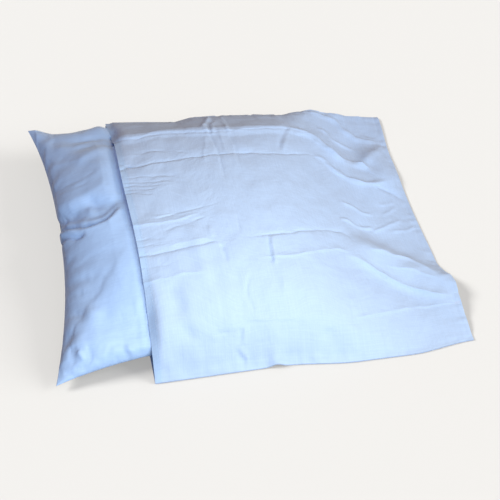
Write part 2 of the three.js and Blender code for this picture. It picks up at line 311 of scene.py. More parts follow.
# The casing's folds at the pillow's open end.
PILLOW_FOLDS = [
    ("turn", 190, 9.0, [(-520, 68), (-460, 64), (-417, 60), (-386, 66), (-340, 82), (-300, 92)]),
    ("soft", 14, -11.0, [
        (-520, 44), (-457, 40), (-438, 35), (-413, 37), (-396, 35), (-373, 25), (-354, 22), (-335, 32),
        (-300, 46),
    ]),
    ("pressed", 40, 15.0, [
        (-296, 26), (-337, 5), (-355, -6), (-372, -20), (-390, -25), (-410, -24), (-430, -17),
        (-448, -6), (-464, 8), (-494, 22),
    ]),
    ("soft", 7, -13.0, [
        (-490, 29), (-461, 15), (-445, 2), (-426, -9), (-407, -16), (-387, -17), (-370, -11), (-352, 5),
        (-330, 20),
    ]),
    ("soft", 12, -8.0, [
        (-470, 36), (-455, 28), (-423, 14), (-404, 9), (-384, 4), (-367, 8), (-350, 20),
    ]),
    ("soft", 5, -8.0, [(-412, -37), (-433, -33), (-448, -21), (-462, -11), (-480, -6)]),
    ("soft", 18, -1.6, [(-470, 262), (-445, 246), (-414, 241), (-380, 250)]),
    ("soft", 11, 1.5, [(-460, 230), (-447, 226), (-410, 216), (-387, 221), (-350, 234)]),
    ("soft", 12, -1.0, [(-480, 190), (-465, 193), (-435, 193), (-405, 198), (-350, 204)]),
    ("soft", 8, 1.2, [(-470, 178), (-456, 177), (-423, 167), (-401, 166), (-360, 184)]),
    ("soft", 12, -1.3, [(-456, 138), (-433, 142), (-403, 147), (-373, 158), (-325, 160)]),
    ("pressed", 4, -1.0, [
        (-474, 116), (-464, 110), (-449, 104), (-429, 105), (-410, 106), (-370, 114),
    ]),
    ("pressed", 4, -0.9, [(-466, 104), (-459, 98), (-439, 90), (-417, 87), (-388, 90)]),
    ("pressed", 4, -0.9, [(-374, 66), (-365, 69), (-342, 79), (-325, 84)]),
    ("soft", 9, -1.5, [(-476, -108), (-464, -114), (-443, -127), (-420, -128)]),
    ("soft", 8, -1.3, [(-470, -146), (-458, -150), (-437, -154)]),
    ("soft", 7, -1.2, [(-478, -188), (-467, -190), (-452, -190)]),
    ("lap", 14, -2.2, [(-490, -262), (-469, -243), (-454, -227), (-442, -207), (-436, -180)]),
    ("soft", 10, -1.2, [(-446, -236), (-438, -270), (-434, -292)]),
    ("soft", 14, -1.2, [(-401, -180), (-404, -215), (-407, -250)]),
]
# Short gathers at the pillow's front seam and its front corner.
PILLOW_GATHERS = [
    ("pressed", 4.5, -2.0, [(-494, -296), (-487, -297), (-471, -304), (-462, -306)]),
    ("pressed", 4.5, -2.0, [(-472, -292), (-464, -295), (-444, -299)]),
    ("pressed", 5, -2.2, [(-398, -284), (-390, -289), (-383, -292)]),
    ("pressed", 5, -2.4, [(-384, -276), (-376, -283), (-362, -289)]),
    ("pressed", 4.5, -2.2, [(-352, -278), (-344, -284), (-336, -288)]),
    ("soft", 5, 2.0, [(-462, -264), (-453, -284)]),
    ("soft", 5, 2.0, [(-374, -268), (-358, -288)]),
    ("soft", 8, -2.4, [(-470, -250), (-471, -288)]),
]


def smooth_line(points, steps=6):
    """A line through the points, with no corner at any of them."""
    points = np.array(points, float)
    ends = np.vstack([2 * points[0] - points[1], points, 2 * points[-1] - points[-2]])
    out = []
    for p0, p1, p2, p3 in zip(ends, ends[1:], ends[2:], ends[3:]):
        for t in np.arange(steps) / steps:
            slope, bow, swing = p2 - p0, 2 * p0 - 5 * p1 + 4 * p2 - p3, 3 * p1 - p0 - 3 * p2 + p3
            out.append(0.5 * (2 * p1 + slope * t + bow * t**2 + swing * t**3))
    return np.array(out + [points[-1]])


def waves(points, length, seed, count=18):
    """Smooth random waves of about one length over points, mostly within -1 and 1."""
    rng = np.random.default_rng(seed)
    total = np.zeros(len(points))
    for _ in range(count):
        way = rng.normal(size=points.shape[1])
        way *= math.tau / (length * rng.uniform(0.7, 1.5)) / np.linalg.norm(way)
        total += np.sin(points @ way + rng.uniform(0, math.tau))
    return total * math.sqrt(2 / count) * 0.7


# How far beyond its line each kind of crease is worked out, in half widths.
REACH = {"pressed": 6, "soft": 3, "lap": 4.5, "turn": 1.1}


def crease_line(points, plan):
    """A crease's line on a surface, so that the crease keeps its width on a slope."""
    line = smooth_line(np.array(plan, float) * MM)
    nearest = [np.argmin(((points[:, :2] - at) ** 2).sum(1)) for at in line]
    return np.column_stack([line, points[nearest, Z]])


def lay_crease(points, crease, seed):
    """How far one crease lifts each point of a surface."""
    kind, width, height, plan = crease
    width, height = width * MM, height * MM
    line = crease_line(points, plan)
    line[:, :2] += 0.0012 * np.stack([waves(line, 0.03, seed), waves(line, 0.03, seed + 1)], 1)
    steps = np.linalg.norm(np.diff(line, axis=0), axis=1)
    reached = np.concatenate([[0], np.cumsum(steps)])
    box = (points[:, :2] > line[:, :2].min(0) - REACH[kind] * width).all(1)
    box &= (points[:, :2] < line[:, :2].max(0) + REACH[kind] * width).all(1)
    near = points[box]
    gap = np.full(len(near), np.inf)
    along = np.zeros(len(near))
    side = np.ones(len(near))
    for a, b, start, step in zip(line, line[1:], reached, steps):
        ab = b - a
        t = np.clip((near - a) @ ab / max(ab @ ab, 1e-12), 0, 1)
        d = np.linalg.norm(near - a - t[:, None] * ab, axis=1)
        closer = d < gap
        gap[closer] = d[closer]
        along[closer] = (start + t * step)[closer]
        side[closer] = np.sign(ab[0] * (near[:, 1] - a[1]) - ab[1] * (near[:, 0] - a[0]))[closer]
    share = along / reached[-1]
    ends = np.clip(np.minimum(share, 1 - share) / 0.2, 0, 1)
    ends = ends * ends * (3 - 2 * ends)
    uneven = 1 + min(0.3, 0.0009 / abs(height)) * waves(along[:, None], 0.06, seed + 2, 6)
    if kind == "pressed":
        wide = np.where(side > 0, 1.0, 0.36) * width
        form = np.exp(-(np.sqrt(gap**2 + LINE_ROUNDING**2) - LINE_ROUNDING) / wide)
    elif kind == "soft":
        form = np.exp(-((gap / width) ** 2))
    elif kind == "lap":
        form = side * (gap / width) * np.exp(0.5 - 0.5 * (gap / width) ** 2)
    else:
        form = np.maximum(0, 1 - gap / (np.where(side > 0, 1.0, 0.3) * width))
        uneven = 1.0
    lift = np.zeros(len(points))
    lift[box] = height * form * ends * uneven
    return lift


def crowded(plan_of, creases, count, lanes=61, close=0.007, extra=2.2):
    """Grid positions across the creases, closer together beside them, for each of some lanes."""
    fine = np.linspace(-1, 1, 401)
    marks = [at for crease in creases for at in smooth_line(np.array(crease[3], float) * MM, 24)]
    tree = KDTree(len(marks))
    for i, (x, y) in enumerate(marks):
        tree.insert((x, y, 0), i)
    tree.balance()
    weights = np.empty((lanes, len(fine)))
    for row, lane in zip(weights, np.linspace(-1, 1, lanes)):
        plan = plan_of(np.full(len(fine), lane), fine)
        gaps = np.array([tree.find((x, y, 0))[2] for x, y, z in plan])
        row[:] = 1 + extra * np.exp(-((gaps / close) ** 2))
    for _ in range(3):
        padded = np.pad(weights, ((1, 1), (0, 0)), mode="edge")
        weights = (padded[:-2] + padded[1:-1] + padded[2:]) / 3
    out = np.empty((lanes, count + 1))
    for row, weight in zip(out, weights):
        reached = np.concatenate([[0], np.cumsum((weight[1:] + weight[:-1]) / 2)])
        row[:] = np.interp(np.linspace(0, reached[-1], count + 1), reached, fine)
    return out


def sampled(grid, u, v):
    """A smooth surface through a grid of heights, read at u and v from -1 to 1."""
    rows, columns = grid.shape
    total = np.zeros(len(u))
    x, y = (u + 1) / 2 * (columns - 1), (v + 1) / 2 * (rows - 1)
    i, j = np.clip(np.floor(x), 0, columns - 2).astype(int), np.clip(np.floor(y), 0, rows - 2).astype(int)
    wide = np.pad(grid, 1, mode="reflect", reflect_type="odd")
    for b, share_y in enumerate(cubic_shares(y - j)):
        for a, share_x in enumerate(cubic_shares(x - i)):
            total += share_x * share_y * wide[j + b, i + a]
    return total


def cubic_shares(t):
    """The shares of four neighbouring values at t between the middle two."""
    return (
        -0.5 * t + t**2 - 0.5 * t**3,
        1 - 2.5 * t**2 + 1.5 * t**3,
        0.5 * t + 2 * t**2 - 1.5 * t**3,
        -0.5 * t**2 + 0.5 * t**3,
    )


# The topmost crease, behind which the cloth and the pillow fall to the back seam in one flat slope.
CREST = np.array([
    (-480, 226), (-420, 216), (-340, 208), (-316, 203), (-293, 199), (-265, 201), (-237, 207), (-191, 211),
    (-130, 208), (-55, 207), (17, 217), (62, 227), (109, 224),
])
# How far the cloth's and the pillow's back seams stand further out and up: (x, further back, higher).
CLOTH_BACK_SHIFT = [
    (-340, 7, 14), (-250, 5, 12), (-180, 4, 7), (-145, 8, 14), (-50, 10, 17), (-10, 9, 16),
    (60, 3, 8), (130, 1, 3), (200, 0, 0),
]
PILLOW_BACK_SHIFT = [
    (-510, 0, 4), (-490, 1, 5), (-455, -1, -6), (-425, 0, 0), (-390, 4, 6), (-345, 10, 16),
    (-318, 9, 14), (-280, 6, 8), (10, 3, 4), (130, 0, 0),
]
# How far the pillow's front seam stands further in and up, beside the hem: (x, further in, higher).
PILLOW_FRONT_SHIFT = [(-509, 0, 0), (-470, 2, 2), (-420, 4, 4), (-335, 6, 6), (-290, 3, 3), (-240, 0, 0)]


def flatten_back(grid, along_x, weights):
    """Draws each line of a grid towards a straight slope between the topmost crease and the back seam."""
    flat = grid.copy()
    for c in range(grid.shape[1]):
        x, y, z = grid[-1, c, X], grid[:, c, Y], grid[:, c, Z]
        crest = np.interp(x, CREST[:, 0] * MM, CREST[:, 1] * MM)
        t = np.clip((y - crest) / (y[-1] - crest), 0, 1)
        top = np.interp(crest, y, z)
        slope = top + (z[-1] - top) * t
        ease = np.minimum(1, t / 0.12)
        weight = np.interp(x, np.array(along_x) * MM, weights)
        flat[:, c, Z] += weight * ease * ease * (3 - 2 * ease) * (slope - z)
    return flat


def seam_shift(points, v, rows):
    """How far a seam, at v of 1, stands further along Y and up; it fades towards the middle."""
    near = np.maximum(0, (v - 0.4) / 0.6) ** 2
    table = np.array(rows, float) * MM
    out, up = (near * np.interp(points[:, X], table[:, 0], table[:, i]) for i in (1, 2))
    return np.column_stack([np.zeros(len(points)), out, up])


def normals_of(grid):
    """The upward normals of a surface given as a grid of points."""
    across = np.gradient(grid, axis=1)
    along = np.gradient(grid, axis=0)
    normal = np.cross(across, along)
    return normal / np.linalg.norm(normal, axis=2)[..., None]


# --- Meshes ---


def only(obj):
    """Makes one object the only one selected, and the active one."""
    bpy.ops.object.select_all(action="DESELECT")
    obj.select_set(True)
    bpy.context.view_layer.objects.active = obj


def add_cloth_grid(name, across, along):
    """A flat grid of cloth from -1 to 1 each way, and its points in rows."""
    bpy.ops.object.select_all(action="DESELECT")
    bpy.ops.mesh.primitive_grid_add(x_subdivisions=across, y_subdivisions=along, size=2)
    obj = bpy.context.object
    obj.name = obj.data.name = name
    flat = read_points(obj)
    order = np.lexsort((np.round(flat[:, 0], 5), np.round(flat[:, 1], 5)))
    return obj, flat, order.reshape(along + 1, across + 1)


def read_points(obj):
    """A mesh's points, in the mesh's own order."""
    points = np.empty(len(obj.data.vertices) * 3)
    obj.data.vertices.foreach_get("co", points)
    return points.reshape(-1, 3)


def set_points(obj, points):
    """Puts a mesh's points where they are given, in the mesh's own order."""
    obj.data.vertices.foreach_set("co", np.ascontiguousarray(points, float).ravel())
    obj.data.update()


def faces_tree(mesh):
    """A search tree over a mesh's faces."""
    return BVHTree.FromPolygons([v.co for v in mesh.vertices], [p.vertices for p in mesh.polygons])


def cad_tree(node):
    """A search tree over a CAD node's faces."""
    return faces_tree(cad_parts[node].data)


def height_on(tree, plan, from_above):
    """The height of a CAD surface at each place in plan, seen from above or from below."""
    start, way = (1.0, Vector((0, 0, -1))) if from_above else (-1.0, Vector((0, 0, 1)))
    heights = np.empty(len(plan))
    for i, (x, y, z) in enumerate(plan):
        place = tree.ray_cast(Vector((x, y, start)), way)[0]
        if place is None:
            place = tree.find_nearest(Vector((x, y, z)))[0]
        heights[i] = place.z
    return heights


def lip_taken(points):
    """Where to read the source's heights, so that the lip of the closed end stands nearer the front."""
    taken = points.copy()
    empty_end = np.clip((points[:, X] - 0.2) / 0.1, 0, 1)
    taken[:, Y] += 0.009 * empty_end * np.exp(-(((points[:, Y] + 0.17) / 0.06) ** 2))
    return taken


def even_grid(count):
    """Places spread evenly from -1 to 1 each way, across and along, and their numbers in rows."""
    even = np.linspace(-1, 1, count)
    across, along = (grid.ravel() for grid in np.meshgrid(even, even))
    return across, along, np.arange(count * count).reshape(count, count)


def blur(grid, rounds):
    """Eases a grid into one smooth surface, which keeps every edge but its first column."""
    for _ in range(rounds):
        padded = np.pad(grid, 1, mode="edge")
        beside = padded[:-2, 1:-1] + padded[2:, 1:-1] + padded[1:-1, :-2] + padded[1:-1, 2:]
        eased = (beside + 2 * grid) / 6
        eased[0], eased[-1], eased[:, -1] = grid[0], grid[-1], grid[:, -1]
        grid = eased
    return grid


def rim_of(rows):
    """The points on the four edges of a grid."""
    return np.concatenate([rows[0], rows[-1], rows[:, 0], rows[:, -1]])


def finish_piece(obj, material, angle=None):
    """Smooth shading, the piece's material and the root body."""
    only(obj)
    if angle is None:
        bpy.ops.object.shade_smooth()
    else:
        bpy.ops.object.shade_smooth_by_angle(angle=angle)
    obj.data.materials.clear()
    obj.data.materials.append(material)
    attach(obj, "root")


def apply_modifiers(obj):
    """Applies every modifier, in order."""
    only(obj)
    for modifier in list(obj.modifiers):
        bpy.ops.object.modifier_apply(modifier=modifier.name)


# --- Sizes and colours ---


class ProtectorCloth(bpy.types.PropertyGroup):
    """The protector's cotton."""

    colour: FloatVectorProperty(
        name="Cotton", description="Colour of the protector's cotton", subtype="COLOR", size=4,
        default=hex_linear("#CCDFFB"), min=0, max=1,
    )
    # Deeper blue where two layers lie together: partly the layers themselves, partly painted shade where the
    # cloth turns down to its seams.
    doubled_painted_shade: FloatVectorProperty(
        name="Doubled cotton", description="Colour where two layers lie together", subtype="COLOR", size=4,
        default=hex_linear("#BCD8FA"), min=0, max=1,
    )
    thread: FloatVectorProperty(
        name="Thread", description="Colour of the hem's sewing thread", subtype="COLOR", size=4,
        default=hex_linear("#D9E8FB"), min=0, max=1,
    )
    thickness: FloatProperty(
        name="Thickness", description="Thickness of one layer of cotton", default=0.0006, unit="LENGTH",
    )
    hem_width: FloatProperty(
        name="Hem width", description="Width of the turned hem at the open end", default=0.012, unit="LENGTH",
    )
    stitch: FloatProperty(
        name="Stitch", description="From one stitch of the hem to the next", default=0.0035, unit="LENGTH",
    )
    crease_depth: FloatProperty(
        name="Crease depth", description="Share of their stated height that the pressed creases have",
        default=1.3, min=0, max=2,
    )
    cells: IntProperty(
        name="Cells", description="Grid cells along each side of the top panel", default=220, min=40, max=221,
    )


class PillowCasing(bpy.types.PropertyGroup):
    """The pillow's casing and filling."""

    colour: FloatVectorProperty(
        name="Casing", description="Colour of the pillow's casing", subtype="COLOR", size=4,
        default=hex_linear("#B7D6FF"), min=0, max=1,
    )
    crown: FloatProperty(
        name="Crown", description="The pillow's rise above its own seam", default=0.098, unit="LENGTH",
    )
    lumps: FloatProperty(
        name="Lumps", description="Height of the lumps that the filling makes", default=0.0018, unit="LENGTH",
    )
    pressure: FloatProperty(
        name="Pressure", description="How hard the filling presses the casing out", default=4.0,
    )
    spare: FloatProperty(
        name="Spare casing", description="Share by which the casing is larger than the filling", default=0.04,
    )
    wrinkles: FloatProperty(
        name="Wrinkles", description="Most that the pressed casing's wrinkles may move", default=0.0018,
        unit="LENGTH",
    )


class StudioLook(bpy.types.PropertyGroup):
    """The floor's colour and the camera."""

    floor: FloatVectorProperty(
        name="Floor", description="Colour of the floor", subtype="COLOR", size=4,
        default=hex_linear("#F4F3EF"), min=0, max=1,
    )
    lens: FloatProperty(name="Lens", description="Focal length of the camera in millimetres", default=72.0)
    distance: FloatProperty(
        name="Distance", description="From the camera to the protector", default=2.13, unit="LENGTH",
    )


# --- Materials ---


def cotton_material(cloth):
    """Plain woven cotton (percale), bleached and dyed pale blue: matt, with a faint grid of threads."""
    material, tree = new_material("cotton_percale_pale_blue")
    uv = add_node(tree, "ShaderNodeUVMap", {"uv_map": "UVMap"})
    # The cloth is 650 mm each way, so one unit of this vector is a millimetre.
    cloth_mm = add_node(tree, "ShaderNodeMapping", Vector=uv.outputs[0], Scale=(650, 650, 650))
    # Uneven yarns run each way as long thin streaks, about 2 mm apart so that they show.
    warp_way = add_node(tree, "ShaderNodeMapping", Vector=cloth_mm.outputs[0], Scale=(0.5, 0.018, 1))
    weft_way = add_node(tree, "ShaderNodeMapping", Vector=cloth_mm.outputs[0], Scale=(0.018, 0.5, 1))
    warp = add_node(tree, "ShaderNodeTexNoise", Vector=warp_way.outputs[0], Scale=1.0, Detail=2.0)
    weft = add_node(tree, "ShaderNodeTexNoise", Vector=weft_way.outputs[0], Scale=1.0, Detail=2.0)
    yarns = add_node(
        tree, "ShaderNodeMath", {"operation": "ADD"}, _0=warp.outputs["Fac"], _1=weft.outputs["Fac"],
    )
    # Small crumples left by handling, 8 to 20 mm across.
    crumple = add_node(
        tree, "ShaderNodeTexNoise", Vector=cloth_mm.outputs[0], Scale=0.045, Detail=4.0, Roughness=0.55,
    )
    tone = add_node(
        tree, "ShaderNodeMapRange", Value=yarns.outputs[0],
        From_Min=0.7, From_Max=1.3, To_Min=0.955, To_Max=1.03,
    )
    # The seam allowance and the turned hem are painted a deeper blue: partly two layers of cloth showing
    # through the one above, partly painted shade where the cloth turns down to its seams.
    layers = add_node(tree, "ShaderNodeAttribute", {"attribute_name": "layers"})
    dyed = add_node(
        tree, "ShaderNodeMix", {"data_type": "RGBA"},
        _0=layers.outputs["Fac"], _6=tuple(cloth.colour), _7=tuple(cloth.doubled_painted_shade),
    )
    colour = add_node(
        tree, "ShaderNodeMix", {"data_type": "RGBA", "blend_type": "MULTIPLY"},
        _0=1.0, _6=dyed.outputs[2], _7=tone.outputs[0],
    )
    fine = add_node(tree, "ShaderNodeBump", Height=yarns.outputs[0], Strength=0.25, Distance=0.0006)
    soft = add_node(
        tree, "ShaderNodeBump",
        Height=crumple.outputs["Fac"], Strength=0.5, Distance=0.004, Normal=fine.outputs[0],
    )
    shader = add_node(
        tree, "ShaderNodeBsdfPrincipled", Base_Color=colour.outputs[2], Roughness=0.88,
        Sheen_Weight=0.15, Sheen_Roughness=0.5, Normal=soft.outputs[0],
    )
    shader.inputs["Specular IOR Level"].default_value = 0.25
    add_node(tree, "ShaderNodeOutputMaterial", Surface=shader.outputs[0])
    return material


def casing_material(casing):
    """Downproof cotton sateen, dyed light blue: a close smooth face with a soft sheen."""
    material, tree = new_material("cotton_sateen_light_blue")
    place = add_node(tree, "ShaderNodeTexCoord")
    # Sateen yarns run one way, as streaks about 2 mm apart.
    grain = add_node(tree, "ShaderNodeMapping", Vector=place.outputs["Object"], Scale=(40, 450, 40))
    yarn = add_node(tree, "ShaderNodeTexNoise", Vector=grain.outputs[0], Scale=1.0, Detail=2.0)
    # Fine crumples where the filling pushes the casing about, 10 to 30 mm across.
    crumple = add_node(tree, "ShaderNodeTexNoise", Vector=place.outputs["Object"], Scale=38.0, Detail=3.0)
    tone = add_node(
        tree, "ShaderNodeMapRange", Value=yarn.outputs["Fac"],
        From_Min=0.3, From_Max=0.7, To_Min=0.97, To_Max=1.03,
    )
    colour = add_node(
        tree, "ShaderNodeMix", {"data_type": "RGBA", "blend_type": "MULTIPLY"},
        _0=1.0, _6=tuple(casing.colour), _7=tone.outputs[0],
    )
    fine = add_node(tree, "ShaderNodeBump", Height=yarn.outputs["Fac"], Strength=0.12, Distance=0.0004)
    soft = add_node(
        tree, "ShaderNodeBump",
        Height=crumple.outputs["Fac"], Strength=0.35, Distance=0.004, Normal=fine.outputs[0],
    )
    shader = add_node(
        tree, "ShaderNodeBsdfPrincipled", Base_Color=colour.outputs[2], Roughness=0.5,
        Sheen_Weight=0.3, Sheen_Roughness=0.35, Normal=soft.outputs[0],
    )
    shader.inputs["Specular IOR Level"].default_value = 0.35
    add_node(tree, "ShaderNodeOutputMaterial", Surface=shader.outputs[0])
    return material


def thread_material(cloth):
    """Spun polyester sewing thread: a little paler and glossier than the cotton."""
    material, tree = new_material("polyester_thread_pale_blue")
    place = add_node(tree, "ShaderNodeTexCoord")
    # The two plies twist about once a millimetre.
    ply = add_node(
        tree, "ShaderNodeTexWave", {"bands_direction": "DIAGONAL"},
        Vector=place.outputs["Object"], Scale=300.0,
    )
    twist = add_node(tree, "ShaderNodeBump", Height=ply.outputs["Fac"], Strength=0.3, Distance=0.0002)
    shader = add_node(
        tree, "ShaderNodeBsdfPrincipled",
        Base_Color=tuple(cloth.thread), Roughness=0.5, Normal=twist.outputs[0],
    )
    add_node(tree, "ShaderNodeOutputMaterial", Surface=shader.outputs[0])
    return material


# --- Operators ---


def pillow_half(name, casing, upper):
    """One side of the pillow as a grid of points, with where each lies across and along the casing."""
    obj, flat, rows = add_cloth_grid(name, 104, 108)
    # Lines lie closer together on the end that shows, and towards every seam.
    u = -1 + 2 * ((1 + flat[:, 0]) / 2) ** 1.5
    u = 0.75 * u + 0.25 * np.sin(u * math.pi / 2)
    v = 0.7 * flat[:, 1] + 0.3 * np.sin(flat[:, 1] * math.pi / 2)
    points = pillow_plan(u, v)
    seam = points.copy()
    swell = [np.maximum(0, 1 - np.abs(t) ** SWELL_POWER) ** 0.5 for t in (u, v)]
    full = swell[0] * swell[1]
    if upper:
        points[:, Z] += casing.crown * full
        flat_shares = (0, 0.25, 0.25, 0.7, 0.7, 0)
        flat_at = (-500, -440, -350, -320, 40, 130)
        points[rows.ravel()] = flatten_back(points[rows], flat_at, flat_shares).reshape(-1, 3)
    else:
        sunk = points[:, Z] - (points[:, Z] - BASE_REST) * BASE_SPREAD * full
        rounded = np.maximum(0, sunk - BASE_REST + BASE_EASE) ** 2 / (4 * BASE_EASE)
        points[:, Z] = BASE_REST + np.where(sunk > BASE_REST + BASE_EASE, sunk - BASE_REST, rounded)
    # Both sides start from one seam line.
    rim = rim_of(rows)
    points[rim] = seam[rim]
    points += seam_shift(points, v, PILLOW_BACK_SHIFT) + seam_shift(points, -v, PILLOW_FRONT_SHIFT)
    set_points(obj, points)
    if not upper:
        only(obj)
        bpy.ops.object.mode_set(mode="EDIT")
        bpy.ops.mesh.select_all(action="SELECT")
        bpy.ops.mesh.flip_normals()
        bpy.ops.object.mode_set(mode="OBJECT")
    for key, values in (("across", u), ("along", v), ("upper", np.full(len(u), float(upper)))):
        obj.data.attributes.new(key, "FLOAT", "POINT").data.foreach_set("value", values)
    return obj, points, rows


def press_out(obj, points, rows, casing):
    """Lets the filling press one side of the casing out, so that it wrinkles where the seams hold it."""
    rim = rim_of(rows)
    held = obj.vertex_groups.new(name="held")
    held.add([int(i) for i in rim], 1.0, "REPLACE")
    modifier = obj.modifiers.new("casing", "CLOTH")
    modifier.collision_settings.use_collision = False
    settings = modifier.settings
    settings.quality = 6
    settings.mass = 0.2
    settings.tension_stiffness = settings.compression_stiffness = 20
    settings.shear_stiffness = 6
    settings.bending_stiffness = 0.6
    settings.use_pressure = True
    settings.uniform_pressure_force = casing.pressure
    settings.shrink_min = -casing.spare
    settings.vertex_group_mass = held.name
    settings.effector_weights.gravity = 0
    for step in range(1, PRESS_FRAMES + 1):
        bpy.context.scene.frame_set(step)
    apply_modifiers(obj)
    bpy.context.scene.frame_set(1)
    moved = read_points(obj) - points
    # The pillow keeps its size: only the wrinkles stay. As blur doesn't keep the first column, this
    # moves the rim along the left seam too, on this side of the casing only.
    for axis in (X, Y, Z):
        moved[rows, axis] -= blur(moved[rows, axis], WRINKLE_ROUNDS)
    size = np.linalg.norm(moved, axis=1)
    waist = np.exp(-(((points[:, Y] - 0.02) / 0.07) ** 2))
    moved *= (casing.wrinkles * (1 - 0.7 * waist) / (casing.wrinkles + size))[:, None]
    # Nothing stands up under the protector.
    outward = np.empty_like(points)
    outward[rows.ravel()] = normals_of(points[rows]).reshape(-1, 3)
    up = np.maximum((moved * outward).sum(1), 0)
    free = np.clip((-0.348 - points[:, X]) / 0.035, 0, 1)
    moved -= outward * (up * (1 - free))[:, None]
    set_points(obj, points + moved)
    obj.vertex_groups.clear()


def read_attribute(mesh, name):
    """One of a mesh's point attributes, a number for each point."""
    values = np.empty(len(mesh.vertices))
    mesh.attributes[name].data.foreach_get("value", values)
    return values


def cloth_surface(u, v, rows):
    """The protector's upper panel before its creases, at u and v given in rows."""
    across, along, lines = even_grid(HEIGHT_LINES)
    plan = lip_taken(bag_plan(across, along))
    heights = height_on(cad_tree("protector_top_panel"), plan, from_above=True)
    points = bag_plan(u, v)
    points[:, Z] = sampled(blur(heights[lines], HEIGHT_ROUNDS), u, v) - TOP_LOWERED
    points[rows.ravel()] = flatten_back(points[rows], (-340, 40, 130), (0.65, 0.65, 0)).reshape(-1, 3)
    return points + seam_shift(points, v, CLOTH_BACK_SHIFT)


def blur_line(values, width):
    """Values along a line, each averaged with those on both sides of it."""
    padded = np.pad(values, width, mode="edge")
    return np.convolve(padded, np.ones(2 * width + 1) / (2 * width + 1), mode="valid")


def fit_under_cloth(points, from_seam):
    """How far each point of the pillow's top must rise or sink to fill the protector and stay inside it."""
    across, along, rows = even_grid(COVER_LINES)
    cells = np.stack([rows[:-1, :-1], rows[:-1, 1:], rows[1:, 1:], rows[1:, :-1]], 2).reshape(-1, 4)
    tree = BVHTree.FromPolygons(cloth_surface(across, along, rows).tolist(), cells.tolist())
    covered = np.zeros(len(points), bool)
    change = np.zeros(len(points))
    for i in np.flatnonzero(points[:, X] > -0.35):
        place = tree.ray_cast(Vector((points[i, X], points[i, Y], 1.0)), Vector((0, 0, -1)))[0]
        if place is not None:
            covered[i] = True
            change[i] = place.z - UNDER_CLOTH - points[i, Z]
    # What shows moves with what lies beside it under the hem.
    beside_hem = np.flatnonzero(covered & (points[:, X] < -0.317))
    beside_hem = beside_hem[np.argsort(points[beside_hem, Y])]
    by_row = np.interp(points[:, Y], points[beside_hem, Y], blur_line(change[beside_hem], 16)) - BESIDE_HEM
    change = np.where(covered, change, by_row)
    inside = np.clip((points[:, X] + 0.46) / 0.11, 0, 1)
    clear_of_seam = np.clip((from_seam - 0.02) / 0.05, 0, 1)
    by_hem = inside * np.clip((-0.28 - points[:, X]) / 0.04, 0, 1) * clear_of_seam
    lowered = np.where(covered | (points[:, Y] < 0), inside, inside * clear_of_seam)
    share = np.where(change > 0, by_hem, lowered)
    return np.minimum(change, 0.02) * share * share * (3 - 2 * share)


class PROTECTOR_OT_pillow(bpy.types.Operator):
    """Makes the filled pillow: a crowned form with drawn-in sides, gathered seams and a deep waist"""

    bl_idname = "protector.pillow"
    bl_label = "Pillow"

    def execute(self, context):
        casing = context.scene.pillow_casing
        pillow, points, rows = pillow_half("pillow_casing", casing, True)
        press_out(pillow, points, rows, casing)
        under, _, _ = pillow_half("pillow_underside", casing, False)
        only(pillow)
        under.select_set(True)
        bpy.ops.object.join()
        bpy.ops.object.mode_set(mode="EDIT")
        bpy.ops.mesh.select_all(action="SELECT")
        bpy.ops.mesh.remove_doubles(threshold=WELD)
        bpy.ops.object.mode_set(mode="OBJECT")
        smooth = pillow.modifiers.new("smooth", "SUBSURF")
        smooth.levels = smooth.render_levels = 1
        apply_modifiers(pillow)

        mesh = pillow.data
        count = len(mesh.vertices)
        points = read_points(pillow)
        normal = np.empty(count * 3)
        mesh.vertex_normals.foreach_get("vector", normal)
        normal = normal.reshape(-1, 3)
        u, v, upper = (read_attribute(mesh, key) for key in ("across", "along", "upper"))
        top = upper > 0.45
        away_x, away_y = PILLOW_HALF * (1 - np.abs(u)), PILLOW_HALF * (1 - np.abs(v))
        from_seam = np.minimum(away_x, away_y)
        points[top, Z] += fit_under_cloth(points[top], from_seam[top])
        lift = np.zeros(count)
        # Casing gathered by its seam: short troughs across it, which die away inwards.
        for seed, (away, run) in enumerate(((away_x, points[:, Y]), (away_y, points[:, X]))):
            for end in (-1, 1):
                number = 31 + 7 * seed + end + 20 * int(end > 0)
                pull = waves(np.column_stack([run, away * 0.25]), 0.03, number)
                which = (u if seed == 0 else v) * end > 0
                lift += which * 0.0009 * pull * np.exp(-away / 0.028) * (1 - np.exp(-away / 0.006))
        creases = np.zeros(top.sum())
        for i, crease in enumerate(PILLOW_FOLDS + PILLOW_GATHERS):
            creases += lay_crease(points[top], crease, 100 + 5 * i)
        lumps = waves(points[top], 0.15, 5) + 0.3 * waves(points[top], 0.05, 6)
        creases += casing.lumps * lumps * np.minimum(1, from_seam[top] / 0.06)
        # Nothing stands up under the protector.
        shown = np.clip((-0.338 - points[top, X]) / 0.03, 0, 1)
        lift[top] += np.where(creases > 0, creases * shown, creases * (0.3 + 0.7 * shown))
        # The casing is drawn into a groove beside the hem.
        hem_line = np.array(OPEN_HEM, float) * MM
        beside = points[top, X] - np.interp(points[top, Y], hem_line[:, Y], hem_line[:, X])
        held_down = np.clip((points[top, Z] - 0.035) / 0.03, 0, 1)
        behind_middle = np.clip((points[top, Y] + 0.05) / 0.1, 0, 1)
        by_back_corner = np.clip((points[top, Y] - 0.19) / 0.06, 0, 1)
        depth = 0.0025 + 0.0050 * behind_middle
        depth -= 0.0045 * by_back_corner
        width = 0.006 + 0.004 * behind_middle
        lift[top] -= depth * held_down * np.exp(-(((beside + 0.006) / width) ** 2))
        lift *= 0.3 + 0.7 * np.minimum(1, from_seam / 0.008)
        lift[~top] *= np.clip(points[~top, Z] / 0.02 - 0.2, 0, 1) * np.minimum(1, from_seam[~top] / 0.006)
        points += normal * lift[:, None]
        points[:, Z] = np.maximum(points[:, Z], CASING_REST)
        set_points(pillow, points)
        for key in ("across", "along", "upper"):
            mesh.attributes.remove(mesh.attributes[key])
        finish_piece(pillow, casing_material(casing))
        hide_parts("pillow")
        return {"FINISHED"}


